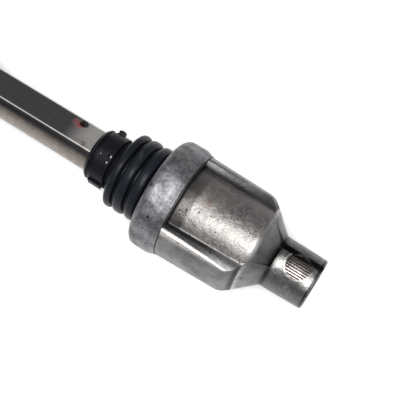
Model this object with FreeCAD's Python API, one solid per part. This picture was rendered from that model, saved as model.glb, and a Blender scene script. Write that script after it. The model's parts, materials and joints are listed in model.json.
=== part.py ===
"""Intermediate steering shaft: a pot joint with a splined clamp socket at its lower end,
a double-D bar that telescopes in a double-D tube, and a universal joint with a splined
clamp yoke at its upper end.

Millimetres. +X runs along the shaft and out of the lower socket's mouth, +Z is up, and
the origin is the centre of that mouth. The shaft lies level, as it does on a bench.
"""
import FreeCAD, Part
import math
import os

V = FreeCAD.Vector
X_AXIS = V(1, 0, 0)
Y_AXIS = V(0, 1, 0)
Z_AXIS = V(0, 0, 1)

# Turn of each group about the shaft, in degrees, and the poses of its features
pot_turn = -4.0          # the pot's lobes lie this far from level
flat_turn = 68.0         # direction of the double-D flats' normal, from +Y towards +Z
slot_turn = 65.0         # direction of the socket's pinch slot
window_turn = 87.0       # direction of the socket's round window

# Fits and gaps
running_gap = 0.06       # radial, round parts that turn or slide in each other
slide_gap = 0.10         # each side, blocks in their tracks
soft_gap = 0.30          # rubber to metal

# Modelling allowances
past = 1.0               # cutters run this far past the faces they cut
sink = 0.1               # shapes that are fused reach this far into each other
through = 60.0           # reach of cutters that go right through a piece
edge_match = 0.3         # edges are picked for rounding when their ends are this near to a radius

# Lower splined socket
spline_r = 9.525         # at the roots of the teeth in the wall
spline_depth = 0.45
spline_teeth = 48
spline_crest_share = 0.46
spline_root_share = 0.26
socket_r_root = 11.9
socket_r_mouth = 11.6
socket_length = 19.0
socket_land = 2.0        # full width next to the shoulder
socket_chamfer = 0.7
spline_length = 18.2
relief_length = 2.2
relief_gap = 0.35
slot_width = 2.3
slot_end = 0.4           # the slot runs this far into the shoulder
window_r = 5.6
window_from_mouth = 9.4

# Forged pot
shoulder_length = 8.6
shoulder_fillet = 2.4
recess_r = 19.7
shoulder_step = 0.9
shoulder_corner = 2.4
lobe_wall = 5.2          # outside the tracks' floors
lobe_draft = 0.8
lobe_nose_length = 5.2
lobe_nose_round = 7.0
lobe_back_half = 13.6    # half the lobes' width at their feet, next to the cover
lobe_back_lean = 0.45    # the flanks lean outwards by this much for each millimetre there
lobe_end_half = 15.2     # the same two at the socket's end of the wedge, which the nose cuts off
lobe_end_lean = -0.5
lobe_foot = 2.0          # the wedge's feet reach this far into the core
lobe_tip_round = 2.0
lobe_tip_round_end = 4.0   # the crests get rounder towards the nose
lobe_root_round = 1.4
lobe_back = -64.4
lobe_back_round = 0.3
recess_end = -28.2       # where the recesses' floor would meet the shoulder
recess_end_round = 4.0
recess_end_slope = 1.1
crimp_groove_depth = 2.1
crimp_groove_width = 4.4
crimp_groove_slope = 0.8
flange_step = 0.2        # the flange stays this far inside the lobes' reach
flange_chamfer = 1.2
pot_mouth = -73.9
pot_floor = -33.5
pot_bore_r = 15.7
track_floor_gap = 0.2    # outside the blocks
track_corner = 1.2
spring_pocket_r = 7.7
spring_pocket_depth = 6.5

# Retaining plate and crimped cover
plate_thickness = 2.0
plate_hole_r = 16.2
plate_r = 21.4
cover_gap = 0.2          # round the flange
cover_wall = 1.4
cover_back = -78.7
cover_back_slope = 0.8
cover_hole_r = 17.4
cover_shoulder_round = 3.8
cover_lip_round = 4.0
cover_lip_rise = 0.2     # above the lobes
cover_lip_length = 3.4
cover_lip_shift = 0.4    # the lip's inside corner lies this far behind the outside one
cover_front = -64.6

# Pot joint's moving parts
joint_x = -55.5
pin_r = 4.75
pin_recess = 1.2         # the pin's ends lie this far inside the blocks' outer faces
pin_chamfer = 0.8
block_half_length = 10.0
block_half_width = 9.0
block_inner = 11.5
block_outer_r = 18.7
block_chamfer = 0.8
washer_r = 8.0
washer_thickness = 0.8
washer_dish = 0.7
seat_r = 12.5
cup_nose_r = 9.0
cup_flange_start = 12.9
cup_flange_thickness = 2.1
cup_spigot_r = 4.4
cup_spigot_length = 2.0
spring_mean_r = 6.3
spring_wire_r = 0.7
spring_turns = 4
spring_steps = 12        # straight runs in each turn
spring_sides = 8         # sides of the wire
spring_seat_gap = 0.1

# Double-D bar
bar_r = 9.525
bar_half_flats = 7.0
bar_end = -262.0
bar_end_chamfer = 1.2

# Rubber boot
boot_wall = 1.6
boot_bead_thickness = 0.9
boot_bead_gap = 0.05
boot_bead_r = 19.9
boot_throat_r = 16.6
boot_ridge_r = 17.7
boot_groove_r = 15.2
boot_ridge_tip = 3.8
boot_last_ridge_tip = 2.2
boot_ridge_flank = 0.7
boot_groove_width = 0.9
boot_ridges = 3
boot_first_ridge = -79.9
boot_neck_r = 11.3
boot_neck_start = -97.2
boot_neck_end = -110.0
boot_lip_r = 12.0
boot_lip_width = 2.2

# Boot clamp
clamp_width = 7.0
clamp_thickness = 0.6
clamp_mid = -103.0
clamp_ear_turn = 177.0
clamp_ear_height = 1.0
clamp_ear_span = 4.6
clamp_ear_inset = 0.3
clamp_ear_round = 0.4
clamp_lock_turn = 14.5   # direction of the lock that the band is threaded through
clamp_lock_height = 1.9
clamp_lock_span = 3.4
clamp_lock_length = 4.0
clamp_lock_round = 0.9

# Double-D tube with its plastic liner
liner_gap = 0.08
liner_wall = 1.0
liner_length = 60.0
liner_lip = 1.4
liner_lip_rise = 1.2
tube_wall = 2.4
tube_mouth = -176.0
tube_end = -316.0

# Universal joint
hub_thickness = 8.0
yoke_reach = 24.0
ear_inner = 12.2
ear_outer = 19.4
ear_r = 10.5
arm_half_width = 10.2
ear_round = 1.2
base_corner = 2.0
base_side = 1.5
clamp_base_thickness = 6.0
plug_length = 15.0
weld_leg = 1.8
hub_r = 15.0
cap_r = 7.5
cap_wall = 1.5
cap_open = 11.0
cap_closed = 18.0
trunnion_tip_gap = 0.3
cross_core_r = 8.6
cross_core_half = 9.6
seal_r = 6.9
seal_gap = 0.1
ring_groove_depth = 0.7
ring_thickness = 1.0
ring_width = 1.6
ring_gap = 3.0
ring_slack = 0.04

# Upper clamp yoke
clamp_hub_r = 14.5
clamp_hub_length = 32.0
hub_corner = 1.2
clamp_slot = 3.0
lug_half_width = 13.0
lug_half_length = 11.0
lug_from_mouth = 15.0
lug_round = 5.0
lug_top = -4.0
bolt_r = 4.0
bolt_drop = 16.6
bolt_hole_gap = 0.08
bolt_head_flats = 13.0
bolt_head_height = 5.3
bolt_flange_r = 8.0
bolt_flange_height = 1.4
nut_height = 6.6
bolt_tail = 2.2

# Places that follow from the sizes above
shoulder_start = -(socket_length + shoulder_length)
track_floor = block_outer_r + track_floor_gap
lobe_r_mouth = track_floor + lobe_wall
flange_r = lobe_r_mouth - flange_step
crimp_groove_r = lobe_r_mouth - crimp_groove_depth
cover_r = flange_r + cover_gap + cover_wall
cover_lip_r = lobe_r_mouth + cover_lip_rise
pin_reach = block_outer_r - pin_recess
joint = V(joint_x, 0, 0)
plate_back = pot_mouth - plate_thickness
u_centre = tube_end - hub_thickness - yoke_reach
clamp_base = u_centre - yoke_reach
upper_mouth = clamp_base - clamp_hub_length
lug_x = upper_mouth + lug_from_mouth
lug_bottom = -cover_r
block_track_half = block_half_width + slide_gap
tube_inner_r = bar_r + liner_gap + liner_wall
tube_inner_half = bar_half_flats + liner_gap + liner_wall


def box(x0, x1, y0, y1, z0, z1):
    return Part.makeBox(x1 - x0, y1 - y0, z1 - z0, V(x0, y0, z0))


def rod(x0, x1, radius):
    """A round bar along X."""
    return Part.makeCylinder(radius, x1 - x0, V(x0, 0, 0), X_AXIS)


def ring(x0, x1, inner, outer):
    return rod(x0, x1, outer).cut(rod(x0 - past, x1 + past, inner))


def post(radius, start, end, direction, centre):
    """A round bar along a direction, from start to end as measured from a centre."""
    base = centre + direction * start
    return Part.makeCylinder(radius, end - start, base, direction)


def turned(shape, degrees):
    """The shape turned about the shaft's axis."""
    return shape.rotated(V(0, 0, 0), X_AXIS, degrees)


def rounded_wire(corners):
    """A closed wire in the XZ plane through (x, z, corner radius) points, with tangent arcs."""
    points = [V(c[0], 0, c[1]) for c in corners]
    edges = []
    ends = []
    for i, corner in enumerate(corners):
        here = points[i]
        back = points[i - 1] - here
        ahead = points[(i + 1) % len(points)] - here
        back.normalize()
        ahead.normalize()
        radius = corner[2] if len(corner) > 2 else 0
        if radius <= 0:
            ends.append((here, here, None))
            continue
        half = back.getAngle(ahead) / 2
        cut = radius / math.tan(half)
        middle = back + ahead
        middle.normalize()
        centre = here + middle * (radius / math.sin(half))
        ends.append((here + back * cut, here + ahead * cut, centre - middle * radius))
    for i, (start, end, middle) in enumerate(ends):
        if middle is not None:
            edges.append(Part.Arc(start, middle, end).toShape())
        following = ends[(i + 1) % len(ends)][0]
        if end.distanceToPoint(following) > 1e-6:
            edges.append(Part.LineSegment(end, following).toShape())
    return Part.Wire(edges)


def revolved(corners):
    """A solid turned about X from a closed outline of (x, radius, corner radius) points."""
    return Part.Face(rounded_wire(corners)).revolve(V(0, 0, 0), X_AXIS, 360)


def double_d(x0, x1, radius, half_flats):
    """A bar with two flats, their normal along Z before it is turned."""
    side = box(x0, x1, -radius - past, radius + past, -half_flats, half_flats)
    return turned(rod(x0, x1, radius).common(side), flat_turn - 90)


def hexagon(flats, height, base, direction):
    """A hexagonal prism that stands on base along a direction in the YZ plane."""
    prism = Part.makePolygon([
        V(flats / math.sqrt(3) * math.cos(math.radians(60 * i)),
          flats / math.sqrt(3) * math.sin(math.radians(60 * i)), 0)
        for i in range(7)
    ])
    solid = Part.Face(prism).extrude(V(0, 0, height))
    solid.Placement = FreeCAD.Placement(base, FreeCAD.Rotation(Z_AXIS, direction))
    return solid


def splined_bore(x0, x1):
    """The space of a bore with straight teeth left in its wall."""
    crest_r = spline_r - spline_depth
    pitch = 360.0 / spline_teeth
    half_mouth = math.radians(pitch * (1 - spline_crest_share) / 2)
    half_root = math.radians(pitch * spline_root_share / 2)
    inner = crest_r - sink
    groove_points = [
        V(x0, inner * math.cos(half_mouth), -inner * math.sin(half_mouth)),
        V(x0, crest_r * math.cos(half_mouth), -crest_r * math.sin(half_mouth)),
        V(x0, spline_r * math.cos(half_root), -spline_r * math.sin(half_root)),
        V(x0, spline_r * math.cos(half_root), spline_r * math.sin(half_root)),
        V(x0, crest_r * math.cos(half_mouth), crest_r * math.sin(half_mouth)),
        V(x0, inner * math.cos(half_mouth), inner * math.sin(half_mouth)),
    ]
    face = Part.Face(Part.makePolygon(groove_points + groove_points[:1]))
    groove = face.extrude(V(x1 - x0, 0, 0))
    grooves = [turned(groove, pitch * i) for i in range(spline_teeth)]
    return rod(x0, x1, crest_r), grooves


def long_edges(solid, radius):
    """The edges along the lobes, off the round faces' seams, that lie at one distance from the axis."""
    found = []
    for edge in solid.Edges:
        start, end = edge.Vertexes[0].Point, edge.Vertexes[-1].Point
        reach = max(math.hypot(start.y, start.z), math.hypot(end.y, end.z))
        off_seams = min(abs(start.y), abs(end.y), abs(start.z), abs(end.z)) > past
        if abs(end.x - start.x) > past and off_seams and abs(reach - radius) < edge_match:
            found.append(edge)
    return found


def lobe_outline(x, side, half, lean):
    """The section of one lobe's wedge, from the axis to past the lobe's top."""
    foot_y = math.sqrt(recess_r ** 2 - half ** 2)
    top_y = lobe_r_mouth + past
    inner_half = half - lean * lobe_foot
    top_half = half + lean * (top_y - foot_y)
    corners = [(0, 0), (foot_y - lobe_foot, inner_half), (top_y, top_half), (top_y, -top_half),
               (foot_y - lobe_foot, -inner_half), (0, 0)]
    return Part.makePolygon([V(x, side * y, z) for y, z in corners])


def pot_section(x0, x1):
    """The pot's core with its two lobes along Y, whose flanks flatten towards the nose."""
    end_r = recess_r - recess_end_slope * (x1 - recess_end)
    core = revolved([
        (x0, 0), (x0, recess_r), (recess_end, recess_r, recess_end_round), (x1, end_r), (x1, 0),
    ])
    lobes = []
    for side in (1, -1):
        outlines = [lobe_outline(x0, side, lobe_back_half, lobe_back_lean),
                    lobe_outline(x1, side, lobe_end_half, lobe_end_lean)]
        lobes.append(Part.makeLoft(outlines, True, True).common(rod(x0, x1, lobe_r_mouth)))
    section = core.fuse(lobes).removeSplitter()
    section = section.makeFillet(lobe_tip_round, lobe_tip_round_end, long_edges(section, lobe_r_mouth))
    return section.makeFillet(lobe_root_round, long_edges(section, recess_r))


def joint_housing():
    """The forged pot, its neck and the splined socket."""
    nose_start = shoulder_start - lobe_nose_length
    shoulder_r = recess_r - shoulder_step
    envelope = revolved([
        (lobe_back, 0), (lobe_back, lobe_r_mouth, lobe_back_round),
        (nose_start, lobe_r_mouth - lobe_draft, lobe_nose_round),
        (shoulder_start, shoulder_r, shoulder_corner),
        (-socket_length - past, socket_r_root, shoulder_fillet), (-socket_length, socket_r_root),
        (-socket_length, 0),
    ])
    lobed = pot_section(lobe_back, -socket_length).common(envelope)
    groove_back = lobe_back - crimp_groove_width
    body = revolved([
        (pot_mouth, 0), (pot_mouth, flange_r - flange_chamfer), (pot_mouth + flange_chamfer, flange_r),
        (groove_back, flange_r), (groove_back + crimp_groove_slope, crimp_groove_r),
        (lobe_back + sink, crimp_groove_r), (lobe_back + sink, recess_r - sink),
        (shoulder_start + sink, shoulder_r - 2 * sink), (shoulder_start + sink, 0),
    ])
    socket = revolved([
        (-socket_length - sink, 0), (-socket_length - sink, socket_r_root),
        (-socket_length + socket_land, socket_r_root),
        (-socket_chamfer, socket_r_mouth), (0, socket_r_mouth - socket_chamfer), (0, 0),
    ])
    solid = lobed.fuse([body, socket]).removeSplitter()
    track = box(pot_mouth - past, pot_floor, -track_floor, track_floor, -block_track_half, block_track_half)
    track = track.makeFillet(track_corner, [
        e for e in track.Edges if abs(e.Vertexes[0].Point.x - e.Vertexes[-1].Point.x) > past
    ])
    solid = solid.cut([
        rod(pot_mouth - past, pot_floor, pot_bore_r),
        track,
        rod(pot_floor - past, pot_floor + spring_pocket_depth, spring_pocket_r),
    ])
    relief = rod(-spline_length - relief_length, -spline_length, spline_r + relief_gap)
    mouth_bevel = revolved([
        (-spline_depth, 0), (-spline_depth, spline_r - spline_depth), (sink, spline_r + sink), (sink, 0),
    ])
    bore, grooves = splined_bore(-spline_length - sink, past)
    solid = solid.cut([bore, relief, mouth_bevel]).cut(Part.makeCompound(grooves))
    outside = socket_r_root + past
    slot = box(-socket_length - slot_end, past, 0, outside, -slot_width / 2, slot_width / 2)
    window = post(window_r, 0, outside, Y_AXIS, V(-window_from_mouth, 0, 0))
    return solid.cut([
        turned(slot, slot_turn - pot_turn),
        turned(window, window_turn - pot_turn),
    ])


def housing_cover():
    """The pressed steel cap, crimped into the groove behind the lobes."""
    back_inner = cover_back + cover_wall
    outer_corner = cover_back + cover_back_slope
    lip_start = cover_front - cover_lip_length
    return revolved([
        (cover_back, cover_hole_r), (outer_corner, cover_r, cover_shoulder_round),
        (lip_start, cover_r, cover_lip_round), (cover_front, cover_lip_r),
        (cover_front, cover_lip_r - cover_wall),
        (lip_start - cover_lip_shift, cover_r - cover_wall, cover_lip_round - cover_wall),
        (outer_corner + cover_wall, cover_r - cover_wall, cover_shoulder_round - cover_wall),
        (back_inner, cover_hole_r),
    ])


def retaining_plate():
    return ring(plate_back, pot_mouth, plate_hole_r, plate_r)


def dust_boot():
    """The bellows: bead under the cover, ridges, and a neck on the bar."""
    bead_front = plate_back - boot_bead_gap
    bead_back = bead_front - boot_bead_thickness
    outer = [(bead_front, boot_bead_r), (bead_back, boot_bead_r), (bead_back, boot_throat_r)]
    x = boot_first_ridge
    inner = [(bead_front, boot_throat_r - boot_wall)]
    for tip in [boot_ridge_tip] * (boot_ridges - 1) + [boot_last_ridge_tip]:
        top = x - boot_ridge_flank
        end = top - tip - boot_ridge_flank
        ridge = [(x, boot_groove_r), (top, boot_ridge_r), (top - tip, boot_ridge_r), (end, boot_groove_r)]
        outer += ridge
        inner += [(at, radius - boot_wall) for at, radius in ridge]
        x = end - boot_groove_width
    bore = bar_r + soft_gap
    outer += [(boot_neck_start, boot_neck_r), (boot_neck_end + boot_lip_width, boot_neck_r),
              (boot_neck_end + boot_lip_width, boot_lip_r), (boot_neck_end, boot_lip_r)]
    inner += [(boot_neck_start, bore), (boot_neck_end, bore)]
    return revolved(outer + inner[::-1])


def clamp_bump(length, span, height, corner, turn):
    """A block on the clamp's band, its top edges rounded."""
    inner = boot_neck_r + soft_gap
    top = inner + clamp_thickness + height
    bump = box(clamp_mid - length / 2, clamp_mid + length / 2, inner + clamp_thickness / 2, top,
               -span / 2, span / 2)
    bump = bump.makeFillet(corner, [
        e for e in bump.Edges
        if abs(e.Vertexes[0].Point.y - top) < sink and abs(e.Vertexes[-1].Point.y - top) < sink
    ])
    return turned(bump, turn)


def boot_clamp():
    """The band on the boot's neck, with its pinched ear and its lock."""
    inner = boot_neck_r + soft_gap
    band = ring(clamp_mid - clamp_width / 2, clamp_mid + clamp_width / 2, inner, inner + clamp_thickness)
    ear_length = clamp_width - 2 * clamp_ear_inset
    ear = clamp_bump(ear_length, clamp_ear_span, clamp_ear_height, clamp_ear_round, clamp_ear_turn)
    lock = clamp_bump(
        clamp_lock_length, clamp_lock_span, clamp_lock_height, clamp_lock_round, clamp_lock_turn)
    return band.fuse([ear, lock]).removeSplitter()


def cross_pin():
    pin = post(pin_r, -pin_reach, pin_reach, Y_AXIS, joint)
    return pin.makeChamfer(pin_chamfer, [e for e in pin.Edges if len(e.Vertexes) == 1])


def bearing_block(side):
    """A block that slides in one track and turns on the pin, its outer face round about Z."""
    body = box(joint_x - block_half_length, joint_x + block_half_length, block_inner, block_outer_r + past,
               -block_half_width, block_half_width)
    body = body.common(post(block_outer_r, -through, through, Z_AXIS, joint))
    body = body.makeChamfer(block_chamfer, [
        e for e in body.Edges
        if abs(abs(e.CenterOfMass.z) - block_half_width) < 1e-6 and e.CenterOfMass.y > block_inner + sink
    ])
    body = body.cut(post(pin_r + running_gap, 0, through, Y_AXIS, joint))
    return body if side > 0 else body.rotated(joint, Z_AXIS, 180)


def block_washers():
    """Two dished spring washers on the pin, between the bar and the blocks."""
    hole = pin_r + running_gap
    start = block_inner - washer_thickness - washer_dish
    washers = []
    for side in (1, -1):
        outline = Part.makePolygon([
            V(joint_x + hole, side * start, 0), V(joint_x + washer_r, side * (start + washer_dish), 0),
            V(joint_x + washer_r, side * (start + washer_dish + washer_thickness), 0),
            V(joint_x + hole, side * (start + washer_thickness), 0), V(joint_x + hole, side * start, 0),
        ])
        washers.append(Part.Face(outline).revolve(joint, Y_AXIS, 360))
    return Part.makeCompound(washers)


def spring_cup():
    """The thrust cup: a round seat for the bar's end, a flange that slides in the pot's bore."""
    flange = joint_x + cup_flange_start
    back = flange + cup_flange_thickness
    nose = math.sqrt((seat_r + running_gap) ** 2 - cup_nose_r ** 2)
    cup = rod(joint_x + nose, flange + sink, cup_nose_r)
    cup = cup.fuse([
        rod(flange, back, pot_bore_r - running_gap),
        rod(back - sink, back + cup_spigot_length, cup_spigot_r),
    ]).removeSplitter()
    return cup.cut(Part.makeSphere(seat_r + running_gap, joint))


def thrust_spring():
    """The coil spring between the cup and the bottom of the pot, its helix in short straight runs."""
    start = joint_x + cup_flange_start + cup_flange_thickness + spring_wire_r + spring_seat_gap
    end = pot_floor + spring_pocket_depth - spring_wire_r - spring_seat_gap
    runs = spring_steps * spring_turns
    points = []
    for i in range(runs + 1):
        angle = 2 * math.pi * i / spring_steps
        points.append(V(start + (end - start) * i / runs,
                        spring_mean_r * math.cos(angle), spring_mean_r * math.sin(angle)))
    along = points[1] - points[0]
    across = FreeCAD.Rotation(Z_AXIS, points[1] - points[0])
    section = []
    for i in range(spring_sides + 1):
        angle = 2 * math.pi * i / spring_sides
        corner = V(spring_wire_r * math.cos(angle), spring_wire_r * math.sin(angle), 0)
        section.append(points[0] + across.multVec(corner))
    return Part.Wire(Part.makePolygon(points)).makePipeShell([Part.makePolygon(section)], True, True, 1)


def inner_shaft():
    """The double-D bar, domed at the pot's centre and drilled for the pin."""
    bar = double_d(bar_end, joint_x + seat_r, bar_r, bar_half_flats)
    tip = revolved([
        (bar_end, 0), (bar_end, bar_r - bar_end_chamfer), (bar_end + bar_end_chamfer, bar_r),
        (joint_x, bar_r), (joint_x, 0),
    ])
    dome = Part.makeSphere(seat_r, joint)
    bar = bar.common(tip.fuse(dome))
    return bar.cut(post(pin_r, -through, through, turned_vector(Y_AXIS, pot_turn), joint))


def turned_vector(vector, degrees):
    return FreeCAD.Rotation(X_AXIS, degrees).multVec(vector)


def slip_liner():
    """The plastic sleeve between bar and tube, with a lip over the tube's mouth."""
    x0 = tube_mouth - liner_length
    outer = double_d(x0, tube_mouth, tube_inner_r, tube_inner_half)
    lip_end = tube_mouth + liner_lip
    lip = double_d(tube_mouth, lip_end, tube_inner_r + liner_lip_rise, tube_inner_half + liner_lip_rise)
    hole = double_d(x0 - past, lip_end + past, bar_r + liner_gap, bar_half_flats + liner_gap)
    return outer.fuse(lip).removeSplitter().cut(hole)


def outer_tube():
    outer = double_d(tube_end, tube_mouth, tube_inner_r + tube_wall, tube_inner_half + tube_wall)
    return outer.cut(double_d(tube_end - past, tube_mouth + past, tube_inner_r, tube_inner_half))


def yoke_fork(direction):
    """Two arms with round ears, which reach from the cross to the base at X = yoke_reach."""
    ear = Part.makeCylinder(ear_r, ear_outer - ear_inner, V(0, ear_inner, 0), Y_AXIS)
    arm = ear.fuse(box(0, yoke_reach + sink, ear_inner, ear_outer, -arm_half_width, arm_half_width))
    arm = arm.removeSplitter()
    outer_edges = [
        e for e in arm.Edges
        if abs(e.CenterOfMass.y - ear_outer) < 1e-6 and e.CenterOfMass.x < yoke_reach
    ]
    arm = arm.makeFillet(ear_round, outer_edges)
    arm = arm.cut(Part.makeCylinder(cap_r, through, V(0, 0, 0), Y_AXIS))
    arm = arm.cut(Part.makeCylinder(cap_r + ring_groove_depth, ring_thickness, V(0, cap_closed, 0), Y_AXIS))
    arms = [arm, arm.rotated(V(0, 0, 0), X_AXIS, 180)]
    return [a.rotated(V(0, 0, 0), X_AXIS, direction) for a in arms]


def yoke_base(thickness):
    """The bridge between the arms: a rounded block that thins towards the hub."""
    bridge = revolved([
        (yoke_reach, 0), (yoke_reach, ear_outer, base_corner), (yoke_reach + thickness, hub_r, base_corner),
        (yoke_reach + thickness, 0),
    ])
    side = box(yoke_reach - past, yoke_reach + thickness + past, -ear_outer - past, ear_outer + past,
               -arm_half_width - base_side, arm_half_width + base_side)
    return bridge.common(side.fuse(rod(yoke_reach, yoke_reach + thickness, hub_r)))


def tube_yoke():
    """The fork that is plugged into the tube's end and welded round it."""
    arms = yoke_fork(0)
    base = yoke_base(hub_thickness)
    solid = base.fuse(arms).removeSplitter().translated(V(u_centre, 0, 0))
    plug = double_d(tube_end - sink, tube_end + plug_length, tube_inner_r, tube_inner_half)
    return solid.fuse([plug, weld_bead()]).removeSplitter()


def weld_bead():
    """The fillet of weld between the tube's outside and the yoke's hub."""
    outer = tube_inner_r + tube_wall
    outer_half = tube_inner_half + tube_wall
    bead = revolved([
        (tube_end - sink, 0), (tube_end - sink, outer + weld_leg), (tube_end, outer + weld_leg),
        (tube_end + weld_leg, outer), (tube_end + weld_leg, 0),
    ])
    flats = double_d(tube_end - past, tube_end + weld_leg + past, outer + weld_leg, outer_half + weld_leg)
    return bead.common(flats).cut(double_d(tube_end, tube_end + weld_leg + past, outer, outer_half))


def u_joint_cross():
    """The cross: a round core and four trunnions that end inside the bearing caps."""
    centre = V(u_centre, 0, 0)
    reach = cap_closed - cap_wall - trunnion_tip_gap
    trunnion_r = cap_r - cap_wall - running_gap
    core = Part.makeSphere(cross_core_half, centre)
    bars = []
    for direction in (Y_AXIS, Z_AXIS):
        bars.append(post(trunnion_r, -reach, reach, direction, centre))
        bars.append(post(cross_core_r, -cross_core_half, cross_core_half, direction, centre))
    return core.fuse(bars).removeSplitter()


def bearing_cap(direction):
    """A closed cup that the ear holds and a trunnion turns in."""
    centre = V(u_centre, 0, 0)
    cup = post(cap_r, cap_open, cap_closed, direction, centre)
    return cup.cut(post(cap_r - cap_wall, 0, cap_closed - cap_wall, direction, centre))


def cap_seals():
    """Four rubber rings between the cross and the open ends of the caps."""
    centre = V(u_centre, 0, 0)
    trunnion_r = cap_r - cap_wall
    seals = []
    for direction in (Y_AXIS, Y_AXIS * -1, Z_AXIS, Z_AXIS * -1):
        seal = post(seal_r, cross_core_half + seal_gap, cap_open - 2 * seal_gap, direction, centre)
        seals.append(seal.cut(post(trunnion_r, 0, through, direction, centre)))
    return Part.makeCompound(seals)


def snap_rings(directions):
    """Split rings in the grooves outside the caps, their gaps towards the joint's lower end."""
    centre = V(u_centre, 0, 0)
    outer = cap_r + ring_groove_depth - ring_slack
    rings = []
    for direction in directions:
        start = cap_closed + ring_slack
        band = post(outer, start, start + ring_thickness - 2 * ring_slack, direction, centre)
        band = band.cut(post(outer - ring_width, 0, through, direction, centre))
        gap = box(0, through, -ring_gap / 2, ring_gap / 2, 0, through)
        gap = turned(gap, math.degrees(math.atan2(-direction.y, direction.z)))
        rings.append(band.cut(gap.translated(centre)))
    return Part.makeCompound(rings)


def clamp_yoke():
    """The upper fork, with a splined hub split below and clamped by a cross bolt."""
    arms = yoke_fork(90)
    base = turned(yoke_base(clamp_base_thickness), 90)
    fork = base.fuse(arms).removeSplitter().rotated(V(0, 0, 0), Z_AXIS, 180).translated(V(u_centre, 0, 0))
    hub = revolved([
        (upper_mouth, 0), (upper_mouth, clamp_hub_r, hub_corner), (clamp_base, clamp_hub_r),
        (clamp_base, 0),
    ])
    lug_outline = rounded_wire([
        (lug_x - lug_half_length, lug_bottom, lug_round), (lug_x + lug_half_length, lug_bottom, lug_round),
        (lug_x + lug_half_length, lug_top), (lug_x - lug_half_length, lug_top),
    ])
    lug = Part.Face(lug_outline).extrude(V(0, 2 * lug_half_width, 0)).translated(V(0, -lug_half_width, 0))
    solid = fork.fuse([hub, lug]).removeSplitter()
    half_slot = clamp_slot / 2
    solid = solid.cut(box(upper_mouth - past, clamp_base, -half_slot, half_slot, lug_bottom - past, 0))
    bore, grooves = splined_bore(upper_mouth - past, clamp_base + past)
    solid = solid.cut(bore).cut(Part.makeCompound(grooves))
    bolt_line = V(lug_x, 0, -bolt_drop)
    return solid.cut(post(bolt_r + bolt_hole_gap, -through, through, Y_AXIS, bolt_line))


def pinch_bolt():
    """A flanged hexagon bolt across the clamp's lugs."""
    line = V(lug_x, 0, -bolt_drop)
    face = lug_half_width
    shank = post(bolt_r, -lug_half_width - nut_height - bolt_tail, face, Y_AXIS, line)
    flange = post(bolt_flange_r, face, face + bolt_flange_height, Y_AXIS, line)
    head = hexagon(bolt_head_flats, bolt_head_height, line + Y_AXIS * face, Y_AXIS)
    return shank.fuse([flange, head]).removeSplitter()


def pinch_nut():
    line = V(lug_x, 0, -bolt_drop)
    nut = hexagon(bolt_head_flats, nut_height, line - Y_AXIS * lug_half_width, Y_AXIS * -1)
    return nut.cut(post(bolt_r, -through, through, Y_AXIS, line))


def nodes():
    """Every piece by name, in its place on the finished shaft."""
    pot_pieces = {
        "joint_housing": joint_housing(),
        "housing_cover": housing_cover(),
        "retaining_plate": retaining_plate(),
        "cross_pin": cross_pin(),
        "bearing_block_left": bearing_block(1),
        "bearing_block_right": bearing_block(-1),
        "block_washers": block_washers(),
        "spring_cup": spring_cup(),
        "thrust_spring": thrust_spring(),
    }
    pieces = {name: turned(shape, pot_turn) for name, shape in pot_pieces.items()}
    pieces.update({
        "dust_boot": dust_boot(),
        "boot_clamp": boot_clamp(),
        "inner_shaft": inner_shaft(),
        "slip_liner": slip_liner(),
        "outer_tube": outer_tube(),
        "tube_yoke": tube_yoke(),
        "u_joint_cross": u_joint_cross(),
        "cap_seals": cap_seals(),
        "tube_yoke_snap_rings": snap_rings([Y_AXIS, Y_AXIS * -1]),
        "clamp_yoke_snap_rings": snap_rings([Z_AXIS, Z_AXIS * -1]),
        "clamp_yoke": clamp_yoke(),
        "pinch_bolt": pinch_bolt(),
        "pinch_nut": pinch_nut(),
    })
    caps = {"left": Y_AXIS, "right": Y_AXIS * -1, "top": Z_AXIS, "bottom": Z_AXIS * -1}
    for name, direction in caps.items():
        pieces["bearing_cap_" + name] = bearing_cap(direction)
    return pieces


def main():
    os.makedirs("parts", exist_ok=True)
    for name, shape in nodes().items():
        shape.exportStep(os.path.join("parts", name + ".step"))
        print(name, shape.isValid(), len(shape.Solids), round(shape.Volume))


main()
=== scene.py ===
"""Looks for a steering shaft with a booted pot joint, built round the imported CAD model.

The file is laid out as an add-on and is run as a script. Everything is in metres, in the
frame of the CAD model: +X runs along the shaft and out of the lower socket. Turns are in
degrees about the shaft's axis, from +Y towards +Z.
"""
import json
import math

import bpy
from mathutils import Matrix, Vector

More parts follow.
